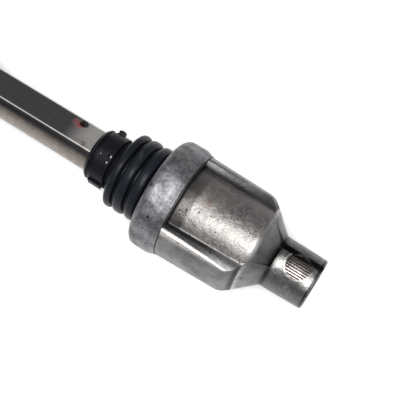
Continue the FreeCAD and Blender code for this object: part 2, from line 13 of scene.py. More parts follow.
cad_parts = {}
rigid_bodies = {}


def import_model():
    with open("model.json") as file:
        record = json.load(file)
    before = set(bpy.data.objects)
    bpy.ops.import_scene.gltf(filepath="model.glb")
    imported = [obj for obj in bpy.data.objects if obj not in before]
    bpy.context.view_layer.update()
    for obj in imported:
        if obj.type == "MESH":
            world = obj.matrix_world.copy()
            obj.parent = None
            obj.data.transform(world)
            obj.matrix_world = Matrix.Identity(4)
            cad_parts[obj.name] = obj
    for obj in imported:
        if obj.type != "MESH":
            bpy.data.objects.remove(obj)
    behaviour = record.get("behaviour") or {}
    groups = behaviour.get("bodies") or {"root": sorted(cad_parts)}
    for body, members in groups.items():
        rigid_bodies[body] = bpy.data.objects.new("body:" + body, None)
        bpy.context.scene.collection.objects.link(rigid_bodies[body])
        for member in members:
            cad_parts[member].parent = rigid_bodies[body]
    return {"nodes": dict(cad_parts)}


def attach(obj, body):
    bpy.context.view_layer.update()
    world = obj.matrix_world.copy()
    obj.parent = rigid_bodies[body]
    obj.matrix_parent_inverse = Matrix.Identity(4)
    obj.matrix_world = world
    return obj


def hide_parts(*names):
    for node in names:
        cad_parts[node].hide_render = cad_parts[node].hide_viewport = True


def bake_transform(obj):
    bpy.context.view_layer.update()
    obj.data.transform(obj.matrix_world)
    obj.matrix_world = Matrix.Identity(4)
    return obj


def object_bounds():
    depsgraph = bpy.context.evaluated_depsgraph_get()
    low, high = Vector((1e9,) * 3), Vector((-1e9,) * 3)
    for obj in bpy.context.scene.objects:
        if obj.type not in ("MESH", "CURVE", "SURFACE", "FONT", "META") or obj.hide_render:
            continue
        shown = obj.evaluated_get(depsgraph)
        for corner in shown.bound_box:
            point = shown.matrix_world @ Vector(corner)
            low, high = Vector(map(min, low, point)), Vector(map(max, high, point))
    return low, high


bl_info = {
    "name": "Steering shaft",
    "version": (1, 0, 0),
    "blender": (4, 5, 0),
    "location": "3D View > Sidebar > Shaft",
    "description": "Finishes, boot, fasteners and stage for a steering shaft",
    "category": "Object",
}

for left_over in list(bpy.data.objects):
    bpy.data.objects.remove(left_over)
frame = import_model()
cad_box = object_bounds()
nodes = frame["nodes"]

# Turns of the CAD model's features.
LOBE_TURN = -4.0
SLOT_TURN = 65.0
FLAT_TURN = 68.0
WINDOW_TURN = 177.0
# The side that makes the lower outline in the picture.
UNDERSIDE_TURN = 196.0
# The window's middle and radius, and the place of the bar's edges above and beside its axis.
WINDOW_X = -0.0094
WINDOW_RADIUS = 0.0060
BAR_FLAT = 0.0070
BAR_EDGE = 0.00646

# Ramps that tell the forging's areas apart, as (0 here, 1 there). Along X:
PAST_COVER = (-0.0650, -0.0646)
BEHIND_NOSES = (-0.0268, -0.0290)
TOWARDS_COVER = (-0.0345, -0.0470)
NEXT_TO_COVER = (-0.0572, -0.0618)
ON_SHOULDER = (-0.0240, -0.0200)
ON_SOCKET = (-0.0205, -0.0190)
# By radius:
ON_FLOOR = (0.0203, 0.0198)
ABOVE_FLOOR = (0.0197, 0.0203)
BELOW_CREST = (0.0238, 0.0222)
ON_CREST = (0.0226, 0.0233)
IN_BORE = (0.0099, 0.0097)
BETWEEN_TEETH = (0.00925, 0.00945)

# Marks, as (place along X, turn, half-length, half-width).
# Rubbed spots with painted highlights on the socket.
SOCKET_RUBS_AND_HIGHLIGHTS = ((-0.0165, 100.0, 0.0026, 0.0042), (-0.0030, 112.0, 0.0034, 0.0042))
# A painted highlight on the lobe's nose.
NOSE_HIGHLIGHT = ((-0.0281, 103.0, 0.0019, 0.0066),)
FLOOR_STREAK = ((-0.0535, 84.0, 0.0030, 0.0030),)
COVER_NICKS = ((-0.0766, 102.5, 0.0008, 0.0009), (-0.0713, 130.8, 0.0009, 0.0012))
COVER_SCRATCH = ((-0.0732, 158.0, 0.0034, 0.0058),)
BAND_GLINTS = (
    (-0.1050, 101.0, 0.0008, 0.0012),
    (-0.1004, 97.0, 0.0005, 0.0014),
    (-0.1008, 111.0, 0.0006, 0.0010),
)


def length(text, default):
    """A size in metres that the sidebar shows as a length."""
    return bpy.props.FloatProperty(name=text, default=default, unit="LENGTH", precision=5)


def angle(text, degrees):
    """An angle that the sidebar shows in degrees."""
    return bpy.props.FloatProperty(name=text, default=math.radians(degrees), subtype="ANGLE")


def amount(text, default, least=0):
    """A plain number with a lower limit."""
    return bpy.props.FloatProperty(name=text, default=default, min=least)


def tint(text, default):
    """A linear colour."""
    return bpy.props.FloatVectorProperty(
        name=text, default=default, subtype="COLOR", size=3, min=0, max=1)


class StageSettings(bpy.types.PropertyGroup):
    """The camera, the lamps and the floor."""
    slant: angle("Lean of the socket towards the camera", 9.2)
    fall: angle("Fall of the shaft to the right", 31.3)
    roll: angle("Turn of the camera about the shaft", -14.46)
    field: angle("The picture's width as an angle", 26.0)
    distance: length("From the camera to the shaft", 0.372)
    aim_x: length("Place on the axis by the picture's centre", -0.0602)
    aim_offset: length("How far the centre lies off the axis", 0.00562)
    clip_start: length("Nearest distance shown", 0.01)
    key_power: amount("Power of the key lamp in watts", 10.0)
    key_distance: length("Distance of the key lamp", 0.85)
    key_size: length("Width of the key lamp", 0.40)
    fill_power: amount("Power of the fill lamp in watts", 1.0)
    fill_distance: length("Distance of the fill lamp", 0.9)
    fill_size: length("Width of the fill lamp", 0.5)
    sky_strength: amount("Strength of the sky's light", 0.42)
    floor_width: length("Length of the floor's sides", 12.0)
    floor_tint: tint("Colour of the floor", (0.93, 0.93, 0.93))


class BootSizes(bpy.types.PropertyGroup):
    """The rubber bellows."""
    bead_front: length("Where the bead meets the retaining plate", -0.07595)
    bead_thickness: length("Thickness of the bead under the cover", 0.0009)
    bead_radius: length("Outside radius of the bead", 0.0199)
    throat_radius: length("Outside radius in the cover's hole", 0.0166)
    ridge_radius: length("Outside radius of the folds", 0.0177)
    groove_radius: length("Outside radius between the folds", 0.0153)
    first_ridge: length("Middle of the fold next to the cover", -0.0825)
    second_ridge: length("Middle of the second fold", -0.0886)
    third_ridge: length("Middle of the fold next to the neck", -0.0939)
    ridge_half: length("Half the width of the first two folds", 0.0026)
    last_ridge_half: length("Half the width of the third fold", 0.0019)
    squareness: amount("2 gives round folds, more gives flat ones", 2.7, 2)
    wall: length("Thickness of the rubber", 0.0006)
    neck_start: length("Where the cone ends on the neck", -0.0972)
    neck_radius: length("Outside radius of the neck", 0.0113)
    neck_bore: length("Inside radius of the neck", 0.00983)
    cone_end: length("Where the neck stops bending", -0.0993)
    lip_radius: length("Outside radius of the neck's bead", 0.0120)
    lip_taper: length("Taper of the neck's bead", 0.0014)
    lip_start: length("Where the neck's bead begins", -0.1078)
    neck_end: length("Where the neck ends on the bar", -0.1100)


class BandSizes(bpy.types.PropertyGroup):
    """The band that holds the boot's neck on the bar."""
    middle: length("The band's middle along the shaft", -0.1030)
    width: length("Width of the band", 0.0070)
    bore: length("Inside radius of the band", 0.0116)
    thickness: length("Thickness of the band", 0.0006)
    ear_turn: angle("Turn of the pinched ear", 177.0)
    ear_span: length("Width of the ear round the band", 0.0046)
    ear_height: length("Height of the ear above the band", 0.0010)
    lock_turn: angle("Turn of the lock", 14.5)
    lock_span: length("Width of the lock round the band", 0.0030)
    lock_length: length("Length of the lock along the shaft", 0.0030)
    lock_height: length("Height of the lock above the band", 0.0015)
    lock_shift: length("From the band's middle back to the lock", 0.0016)
    lock_round: length("Radius of the lock's edges", 0.0009)


class SpringSizes(bpy.types.PropertyGroup):
    """The thrust spring inside the pot."""
    start: length("The wire's middle at the cup", -0.0397)
    end: length("The wire's middle at the pot's bottom", -0.0278)
    coil_radius: length("From the axis to the wire's middle", 0.0063)
    wire_radius: length("Half the wire's thickness", 0.0007)
    turns: bpy.props.IntProperty(name="Turns of the coil", default=4, min=1)


class BoltSizes(bpy.types.PropertyGroup):
    """The pinch bolt and its nut."""
    place: bpy.props.FloatVectorProperty(
        name="Where the bolt's axis crosses the slot", default=(-0.389, 0, -0.0166),
        subtype="TRANSLATION", unit="LENGTH", size=3)
    lug_face: length("From the slot's middle to the lugs' faces", 0.0130)
    flats: length("Width across the head's flats", 0.0130)
    head_height: length("Height of the head with its flange", 0.0053)
    flange_radius: length("Radius of the head's flange", 0.0080)
    flange_height: length("Thickness of the flange", 0.0014)
    shank_radius: length("Radius of the shank", 0.0040)
    nut_height: length("Height of the nut", 0.0066)
    tail: length("How far the bolt reaches out of the nut", 0.0022)
    pitch: length("Distance from one thread to the next", 0.00125)
    depth: length("Depth of the thread", 0.00065)


class FinishTints(bpy.types.PropertyGroup):
    """Colours of the finishes."""
    forged: tint("Skin of the forgings", (0.185, 0.184, 0.190))
    forged_dark: tint("Darker clouds in the forged skin", (0.105, 0.106, 0.110))
    forged_fleck: tint("Light flecks in the forged skin", (0.27, 0.27, 0.275))
    # Also serves as a painted highlight on the lobes' crests.
    bare: tint("Rubbed crests and the recesses' floor", (0.58, 0.545, 0.52))
    shaded: tint("The floor beside the upper lobe", (0.17, 0.155, 0.158))
    stain: tint("Brown film on the recesses' floor", (0.13, 0.095, 0.075))
    # Painted shade in seams, hollows and along outlines, and real oil and soil in pits, nicks and
    # marks.
    grime_and_shade: tint("Oil and dirt in the seams", (0.010, 0.0095, 0.009))
    shadow: tint("Depth of the slot and of the bore", (0.004, 0.004, 0.004))
    # Painted highlight on the lobe's nose.
    nose_highlight: tint("Polished spot on the lobe's nose", (0.75, 0.74, 0.73))
    shoulder: tint("Between the lobes and the socket", (0.080, 0.083, 0.086))
    socket: tint("The socket's skin", (0.078, 0.080, 0.079))
    # Rubbed places and painted highlights on the socket.
    socket_rub_and_highlight: tint("Rubbed places on the socket", (0.36, 0.35, 0.33))
    window_rim_highlight: tint("The bright edge of the window", (0.50, 0.48, 0.46))
    teeth: tint("The spline's teeth", (0.56, 0.50, 0.49))
    tooth_gap_shade: tint("Between the spline's teeth", (0.012, 0.011, 0.011))
    mouth_shade: tint("Dark line at the socket's mouth", (0.008, 0.008, 0.008))
    pressed: tint("The crimped cover", (0.205, 0.206, 0.212))
    pressed_dark: tint("Dull clouds on the cover", (0.090, 0.092, 0.098))
    pressed_fleck: tint("Light flecks on the cover", (0.32, 0.325, 0.345))
    drawn: tint("The double-D bar", (0.082, 0.079, 0.082))
    worn: tint("Rubbed stretches of the bar", (0.47, 0.455, 0.435))
    side: tint("The bar's round sides", (0.20, 0.175, 0.155))
    side_fleck: tint("Light flecks on the round sides", (0.36, 0.33, 0.31))
    side_dark_reflection: tint("Dark band beside the bar's edges", (0.020, 0.019, 0.020))
    edge: tint("The bar's bright edges", (0.80, 0.77, 0.73))
    mark: tint("Red inspection mark on the bar", (0.15, 0.012, 0.011))
    tube: tint("The outer tube's dark coat", (0.075, 0.076, 0.080))
    tube_rub: tint("Rubbed spots on the tube", (0.20, 0.20, 0.20))
    ground: tint("Ground bearing parts", (0.36, 0.36, 0.37))
    spring: tint("Springs and rings", (0.20, 0.19, 0.19))
    spring_heat: tint("Heat tints on the springs", (0.16, 0.13, 0.12))
    plated: tint("Zinc plate of the bolt and nut", (0.40, 0.39, 0.35))
    plated_dull: tint("Dull clouds on the plate", (0.31, 0.30, 0.24))
    band: tint("The coated band", (0.004, 0.004, 0.006))
    # Bare chips, and painted glints on the band.
    band_chip_and_glint: tint("Bare spots on the band", (0.62, 0.61, 0.62))
    rubber: tint("The boot and the seals", (0.0025, 0.0030, 0.0042))
    # Dust and painted sheen on the tops of the folds.
    bloom_and_sheen: tint("Dusty tops of the folds", (0.010, 0.012, 0.017))
    scuff: tint("Scuffed spots on the folds", (0.045, 0.045, 0.048))
    liner: tint("The plastic sleeve", (0.72, 0.70, 0.62))
    liner_dirt: tint("Greasy patches on the sleeve", (0.42, 0.38, 0.30))


class Socket:
    """One output of a shader node, so that sums on it add Math nodes."""

    def __init__(self, finish, link):
        self.finish = finish
        self.link = link

    def maths(self, operation, *others):
        """Adds a Math node whose first value is this one."""
        values = dict(enumerate((self, *others)))
        return self.finish.node("ShaderNodeMath", {"operation": operation}, values)

    def __add__(self, other):
        return self.maths("ADD", other)

    def __sub__(self, other):
        return self.maths("SUBTRACT", other)

    def __rsub__(self, other):
        return self.finish.node("ShaderNodeMath", {"operation": "SUBTRACT"}, {0: other, 1: self})

    def __mul__(self, other):
        return self.maths("MULTIPLY", other)

    def __pow__(self, other):
        return self.maths("POWER", other)

    def absolute(self):
        return self.maths("ABSOLUTE")

    def step(self, start, end):
        """0 up to start, 1 from end on, and a smooth rise between. End may be the lower one."""
        first, last = (0.0, 1.0) if start < end else (1.0, 0.0)
        values = {0: self, 1: min(start, end), 2: max(start, end), 3: first, 4: last}
        return self.finish.node("ShaderNodeMapRange", {"interpolation_type": "SMOOTHSTEP"}, values)

    def near(self, centre, width):
        """1 at the centre, 0 at a distance of width."""
        return (self - centre).absolute().step(width, 0.0)


class Finish:
    """A material that is put together from Python expressions.

    Its colour and its relief are built in layers: paint() covers a part of the colour so far,
    dent() adds to the relief so far, and surface() ends the material.
    """

    def __init__(self, name, slot, colour):
        self.material = bpy.data.materials.new(name)
        self.material.use_nodes = True
        self.tree = self.material.node_tree
        self.tree.nodes.clear()
        self.slot = slot
        self.colour = colour
        self.relief = {}
        self.place = self.node("ShaderNodeTexCoord", {}, {}, "Object")
        self.x, self.y, self.z = (
            self.node("ShaderNodeSeparateXYZ", {}, {0: self.place}, axis) for axis in range(3))

    def node(self, kind, settings, values, output=0):
        """Adds one node: its settings first, then the values or links of its inputs."""
        made = self.tree.nodes.new(kind)
        for name, value in settings.items():
            setattr(made, name, value)
        for name, value in values.items():
            if isinstance(value, Socket):
                self.tree.links.new(value.link, made.inputs[name])
            elif made.inputs[name].type == "RGBA":
                made.inputs[name].default_value = (*value, 1.0)
            else:
                made.inputs[name].default_value = value
        return Socket(self, made.outputs[output])

    def noise(self, size, detail=4.0, roughness=0.6, stretch=(1, 1, 1), shift=(0, 0, 0)):
        """Soft noise from 0 to 1 whose blotches are about size metres across."""
        place = self.node("ShaderNodeMapping", {}, {
            "Vector": self.place, "Location": shift, "Scale": stretch})
        return self.node("ShaderNodeTexNoise", {}, {
            "Vector": place, "Scale": 0.6 / size, "Detail": detail, "Roughness": roughness})

    def pits(self, size, width, shift=(0, 0, 0)):
        """1 inside scattered specks that are size metres apart and width of that across."""
        place = self.node("ShaderNodeMapping", {}, {"Vector": self.place, "Location": shift})
        wobble = self.node("ShaderNodeTexNoise", {}, {
            "Vector": place, "Scale": 1.6 / size, "Detail": 2.0}, 1)
        place = self.node("ShaderNodeVectorMath", {"operation": "MULTIPLY_ADD"}, {
            0: wobble, 1: (size * 0.7,) * 3, 2: place})
        cells = self.node("ShaderNodeTexVoronoi", {}, {"Vector": place, "Scale": 1.0 / size})
        return cells.step(width, width * 0.55)

    def radius(self):
        """Distance from the shaft's axis."""
        return (self.y * self.y + self.z * self.z) ** 0.5

    def across(self, degrees):
        """Distance from the shaft's axis in the direction of a turn."""
        turn = math.radians(degrees)
        return self.y * math.cos(turn) + self.z * math.sin(turn)

    def marks(self, places):
        """1 in the middle of each mark of a list, fading out to 0 at its ends and sides."""
        total = 0
        for x, degrees, long, wide in places:
            outside = self.across(degrees).step(0, 0.002)
            total = self.x.near(x, long) * self.across(degrees + 90).near(0, wide) * outside + total
        return total

    def paint(self, mask, colour):
        """Lays a colour over the colour so far, by a mask from 0 to 1."""
        self.colour = self.node("ShaderNodeMix", {"data_type": "RGBA"}, {
            0: mask, 6: self.colour, 7: colour}, 2)

    def dent(self, height, strength, distance):
        """Adds a height to the relief so far."""
        self.relief = {"Normal": self.node("ShaderNodeBump", {}, {
            "Height": height, "Strength": strength, "Distance": distance, **self.relief})}

    def surface(self, roughness, metallic=0.0, constants=()):
        """Ends the material with the main shader."""
        shader = self.node("ShaderNodeBsdfPrincipled", {}, {
            "Base Color": self.colour, "Roughness": roughness, "Metallic": metallic,
            **self.relief, **dict(constants)})
        end = self.tree.nodes.new("ShaderNodeOutputMaterial")
        self.tree.links.new(shader.link, end.inputs[0])
        return self

    def put_on(self, *names):
        """Gives the finish to CAD nodes."""
        for name in names:
            for slot in nodes[name].material_slots:
                slot.material = self.material

    def coat(self, piece):
        """Gives the finish to a new piece."""
        piece.data.materials.clear()
        piece.data.materials.append(self.material)


def deselect_all():
    """Leaves edit mode and selects nothing."""
    if bpy.context.mode != "OBJECT":
        bpy.ops.object.mode_set(mode="OBJECT")
    bpy.ops.object.select_all(action="DESELECT")


def name_piece(name):
    """Names the active object and its mesh."""
    piece = bpy.context.object
    piece.name = name
    piece.data.name = name
    return piece


def set_in_place():
    """Moves the active object's place into its mesh."""
    bpy.ops.object.transform_apply(location=True, rotation=True, scale=True)


def apply_modifier(kind, **settings):
    """Puts a modifier on the active object and applies it."""
    modifier = bpy.context.object.modifiers.new(kind.title(), kind)
    for name, value in settings.items():
        setattr(modifier, name, value)
    bpy.ops.object.modifier_apply(modifier=modifier.name)


def round_edges(width, segments, degrees):
    """Bevels the active object's edges above an angle."""
    apply_modifier(
        "BEVEL", width=width, segments=segments, limit_method="ANGLE",
        angle_limit=math.radians(degrees))


def smooth_by_angle(degrees):
    """Shades the active object smooth, but for edges above an angle."""
    bpy.ops.object.shade_smooth_by_angle(angle=math.radians(degrees))


def edit_all():
    """Enters edit mode on the active object with all of it selected."""
    bpy.ops.object.mode_set(mode="EDIT")
    bpy.ops.mesh.select_mode(type="VERT")
    bpy.ops.mesh.select_all(action="SELECT")


def extrude(offset, scale=None, about=(0, 0, 0)):
    """Extrudes the selection by an offset and can scale its new end about a point."""
    bpy.ops.mesh.extrude_region_move(TRANSFORM_OT_translate={"value": offset})
    if scale:
        bpy.ops.transform.resize(value=scale, center_override=about)


def face_outward():
    """Turns every face outward and leaves edit mode."""
    bpy.ops.mesh.select_all(action="SELECT")
    bpy.ops.mesh.normals_make_consistent(inside=False)
    bpy.ops.object.mode_set(mode="OBJECT")


def add_ring(name, sides, radius, x, fill="NOTHING"):
    """A ring of points round the shaft's axis."""
    deselect_all()
    bpy.ops.mesh.primitive_circle_add(
        vertices=sides, radius=radius, fill_type=fill, location=(x, 0, 0),
        rotation=(0, math.pi / 2, 0))
    piece = name_piece(name)
    set_in_place()
    return piece


def add_block(name, size, centre):
    """A block at its size and place, ready to be shaped."""
    deselect_all()
    bpy.ops.mesh.primitive_cube_add(size=1.0, location=centre)
    piece = name_piece(name)
    piece.scale = size
    set_in_place()
    return piece


def turn_on_lathe(name, outline, sides):
    """A shape turned about the shaft's axis: a ring is extruded and scaled from point to point."""
    x, radius = outline[0]
    piece = add_ring(name, sides, radius, x)
    edit_all()
    for next_x, next_radius in outline[1:]:
        scale = next_radius / radius
        extrude((next_x - x, 0, 0), (1, scale, scale), (next_x, 0, 0))
        x, radius = next_x, next_radius
    bpy.ops.mesh.select_all(action="SELECT")
    bpy.ops.mesh.remove_doubles(threshold=1e-6)
    face_outward()
    return piece


def wind(name, section, start, pitch, turns, steps):
    """A closed shell made by winding a closed section of (x, radius) points about X."""
    deselect_all()
    bpy.ops.mesh.primitive_circle_add(vertices=len(section))
    piece = name_piece(name)
    for vertex, (x, radius) in zip(piece.data.vertices, section):
        vertex.co = (start + x, radius, 0)
    apply_modifier(
        "SCREW", axis="X", screw_offset=pitch * turns, angle=math.tau * turns, steps=steps * turns,
        render_steps=steps * turns, use_merge_vertices=False)
    edit_all()
    bpy.ops.mesh.fill_holes(sides=0)
    face_outward()
    return piece


def turn_about_shaft(piece, turn):
    """Turns a piece's mesh about the shaft's axis by an angle in radians."""
    piece.data.transform(Matrix.Rotation(turn, 4, "X"))


def join(name, *pieces):
    """One piece out of several closed shells."""
    deselect_all()
    for piece in pieces:
        piece.select_set(True)
    bpy.context.view_layer.objects.active = pieces[0]
    bpy.ops.object.join()
    return name_piece(name)


def select_top(piece):
    """Enters edit mode with the faces that look along +Y selected."""
    deselect_all()
    piece.select_set(True)
    bpy.context.view_layer.objects.active = piece
    bpy.ops.object.mode_set(mode="EDIT")
    bpy.ops.mesh.select_all(action="DESELECT")
    bpy.ops.mesh.select_mode(type="FACE")
    bpy.ops.object.mode_set(mode="OBJECT")
    for face in piece.data.polygons:
        face.select = face.normal.y > 0.9
    bpy.ops.object.mode_set(mode="EDIT")


def between(first, second, share):
    """The number at a share of the way from the first to the second."""
    return first + (second - first) * share


def shade(colour, share):
    """A colour made darker or lighter."""
    return tuple(part * share for part in colour)


def forged_finish(tints):
    """As-forged skin: scale clouds, rubbed crests, a bare stained floor, painted shade and
    highlights.
    """
    finish = Finish("Forged steel", "forged_steel", tints.forged)
    x, radius = finish.x, finish.radius()
    cloud = finish.noise(0.0065, 6.0, 0.62)
    skin = finish.noise(0.0012, 6.0, 0.68)
    grain = finish.noise(0.00035, 3.0, 0.6)
    patches = finish.noise(0.0050, shift=(0.3, 0, 0)).step(0.55, 0.63)
    specks = finish.pits(0.0014, 0.34) * patches
    lobes = x.step(*PAST_COVER) * x.step(*BEHIND_NOSES)
    floor = lobes * radius.step(*ON_FLOOR)
    foot = lobes * radius.step(0.0197, 0.0200) * radius.step(0.0224, 0.0206)
    # Painted shadow in the gap under the cover's lip.
    lip_shadow = radius.step(0.0218, 0.0208) * x.step(-0.0628, -0.0643) * x.step(-0.0660, -0.0650)
    socket = x.step(*ON_SOCKET)
    finish.paint(cloud.step(0.36, 0.64), tints.forged_dark)
    finish.paint(skin.step(0.54, 0.72) * 0.45, tints.forged_fleck)
    film = paint_floor(finish, tints, floor, cloud, skin)
    paint_lobes(finish, tints, lobes, foot, skin)
    slit = paint_socket(finish, tints, socket, cloud, skin)
    # Painted highlight on the lobe's nose.
    finish.paint(finish.marks(NOSE_HIGHLIGHT) * 0.85, tints.nose_highlight)
    # Painted shade along the lower outline of the lobes and the socket.
    below = finish.across(UNDERSIDE_TURN)
    outline = lobes * below.step(0.0226, 0.0236) + socket * below.step(0.0109, 0.0115)
    finish.paint(outline * 0.85, tints.grime_and_shade)
    # Painted shade in the concave crease where the shoulder meets the socket.
    junction_shade = x.near(-0.0194, 0.0019) * radius.step(0.0138, 0.0122)
    finish.paint(junction_shade * 0.8, tints.grime_and_shade)
    finish.paint(specks * (floor * 0.35 + 0.5), tints.grime_and_shade)
    finish.paint(finish.marks(FLOOR_STREAK) * cloud.step(0.44, 0.54) * 0.85, tints.stain)
    # Painted shadow under the cover's lip.
    finish.paint(lip_shadow * 0.92, tints.grime_and_shade)
    finish.dent(cloud, 0.45, 0.0011)
    finish.dent(skin * 0.65 + grain * 0.35 - specks * 0.9, 0.55, 0.0004)
    rough = cloud * 0.12 + skin * 0.22 + 0.30 + lip_shadow * 0.3 + specks * 0.2
    rough = rough - floor * 0.03 + foot * 0.15 + slit * 0.4 - socket * 0.08
    return finish.surface(rough, 0.97 - film * 0.2)


def paint_floor(finish, tints, floor, cloud, skin):
    """Rubs the recesses' floor bare, stains it, paints shade on it, and returns where the brown
    film lies.
    """
    upward = finish.across(LOBE_TURN)
    outward = finish.across(LOBE_TURN + 90).absolute()
    bare = floor * (cloud * 0.7 + skin * 0.6 - 0.18).step(0.18, 0.60)
    finish.paint(bare * 0.85, tints.bare)
    stains = finish.noise(0.0040, 6.0, 0.68, shift=(0.013, 0, 0.02))
    corner = upward * 16.0 + (finish.x + 0.0640).absolute() * -7.0
    film = floor * (stains + corner).step(0.44, 0.66)
    finish.paint(film * 0.60, tints.stain)
    # Painted shade under the cover's lip and along the lobes' roots.
    dirt_and_shade = floor * (finish.x.step(*NEXT_TO_COVER) + outward.step(0.0105, 0.0145) * 0.6)
    finish.paint(dirt_and_shade.step(0, 1) * 0.82, tints.grime_and_shade)
    shaded = floor * upward.step(0.0010, 0.0120)
    finish.paint(shaded * 0.50, tints.shaded)
    return film


def paint_lobes(finish, tints, lobes, foot, skin):
    """Paints shade on the lobes' flanks and feet, and rubs their crests bare with a painted
    highlight, most on the lower lobe.
    """
    radius = finish.radius()
    outward = finish.across(LOBE_TURN + 90).absolute()
    back = finish.x.step(*TOWARDS_COVER)
    lower = finish.across(LOBE_TURN).step(0.004, -0.004)
    # Painted shade on the lobes' flanks, deeper towards the cover.
    flank = lobes * radius.step(*ABOVE_FLOOR) * radius.step(*BELOW_CREST)
    flank = flank * outward.step(0.0095, 0.0120)
    finish.paint(flank * (back * 0.35 + 0.25), shade(tints.forged_dark, 0.45))
    # Painted shade in the feet where the lobes rise from the floor.
    finish.paint(foot * (back * 0.25 + 0.65), tints.grime_and_shade)
    # Rubbed bare crests with a painted highlight, strongest on the lower lobe.
    crest = lobes * radius.step(*ON_CREST) * outward.near(0.0142, 0.0022)
    rubbed = (skin * 0.9 + 0.25).step(0.35, 0.8)
    finish.paint(crest * (lower * 0.8 + 0.2) * rubbed, tints.bare)


def paint_socket(finish, tints, socket, cloud, skin):
    """Paints the shoulder, the socket, its window and its teeth with painted highlights, shade and
    shadow, and returns where its slot is.
    """
    x, radius = finish.x, finish.radius()
    finish.paint(x.step(*ON_SHOULDER) * 0.7 * (1 - socket), tints.shoulder)
    finish.paint(socket * 0.8, tints.socket)
    rubs = socket * (cloud * 0.8 + skin * 0.5 - 0.15).step(0.46, 0.66) * 0.5
    # Painted highlights at the listed marks, over the rubbed spots.
    rubs = rubs + finish.marks(SOCKET_RUBS_AND_HIGHLIGHTS)
    finish.paint(rubs * (skin * 1.3).step(0.30, 0.80) * 0.75, tints.socket_rub_and_highlight)
    beside = finish.across(WINDOW_TURN)
    window = ((x - WINDOW_X) ** 2 + beside ** 2) ** 0.5
    # Painted highlight on the lit side of the window's rim.
    lit = radius.step(0.0104, 0.0110) * (x - beside).step(-0.0060, -0.0120)
    finish.paint(window.near(WINDOW_RADIUS, 0.0004) * lit * 0.7, tints.window_rim_highlight)
    bore = radius.step(*IN_BORE) * socket
    finish.paint(bore * 0.9, tints.teeth)
    # Painted shade between the spline's teeth.
    finish.paint(bore * radius.step(*BETWEEN_TEETH) * 0.93, tints.tooth_gap_shade)
    far = finish.across(-8.0).step(0.0079, 0.0085)
    finish.paint(bore * far * 0.95, tints.shadow)
    # Painted shade in a dark line at the socket's mouth.
    mouth = x.near(-0.0011, 0.0007) * radius.step(0.0100, 0.0106)
    finish.paint(mouth * 0.9, tints.mouth_shade)
    slit = finish.across(SLOT_TURN + 90).absolute().step(0.0019, 0.0013)
    slit = slit * finish.across(SLOT_TURN).step(0.008, 0.0085)
    slit = slit * x.step(-0.0200, -0.0192) * window.step(0.0056, WINDOW_RADIUS)
    finish.paint(slit * 0.97, tints.shadow)
    return slit


def yoke_finish(tints):
    """Forged skin for the yokes, with stains and pits all over."""
    finish = Finish("Yoke steel", "forged_steel", tints.forged)
    cloud = finish.noise(0.010, 5.0, 0.6)
    skin = finish.noise(0.0012, 6.0, 0.65)
    grain = finish.noise(0.0004, 3.0, 0.6)
    pits = finish.pits(0.0026, 0.26, (0.2, 0.1, 0)) * finish.noise(0.008, 2.0, 0.5).step(0.5, 0.64)
    finish.paint(cloud.step(0.35, 0.7), shade(tints.forged, 0.68))
    finish.paint(skin.step(0.55, 0.72) * 0.4, tints.stain)
    finish.paint(pits * 0.6, tints.grime_and_shade)
    finish.dent(cloud, 0.3, 0.0012)
    finish.dent(skin * 0.6 + grain * 0.3 - pits * 0.7, 0.5, 0.00035)
    return finish.surface(cloud * 0.12 + skin * 0.16 + 0.32 + pits * 0.2, 0.9)


def pressed_finish(tints):
    """Dull pressed steel with soft dents, nicks and a long scratch."""
    finish = Finish("Pressed steel", "cover_steel", tints.pressed)
    cloud = finish.noise(0.0040, 6.0, 0.66)
    skin = finish.noise(0.0009, 5.0, 0.68)
    dents = finish.noise(0.0100, 2.0, 0.5, shift=(0.02, 0, 0))
    torn = skin.step(0.36, 0.46)
    patches = finish.noise(0.010, 2.0, 0.5).step(0.5, 0.6)
    nicks = finish.pits(0.0048, 0.14, (0.05, 0.02, 0.0)) * patches
    nicks = nicks + finish.marks(COVER_NICKS) * torn
    slant = finish.x - finish.across(248.0) * 0.42
    scratch = slant.near(-0.0764, 0.00045) * finish.marks(COVER_SCRATCH) * torn
    damage = (nicks + scratch).step(0.05, 0.5)
    finish.paint(cloud.step(0.36, 0.62), tints.pressed_dark)
    finish.paint(skin.step(0.50, 0.70) * 0.5, tints.pressed_fleck)
    finish.paint(damage * 0.9, tints.grime_and_shade)
    finish.dent(dents, 0.35, 0.0016)
    finish.dent(cloud, 0.45, 0.0008)
    finish.dent(skin * 0.8 - damage * 1.4, 0.5, 0.0003)
    return finish.surface(cloud * 0.14 + skin * 0.16 + 0.34 + damage * 0.2, 0.95)


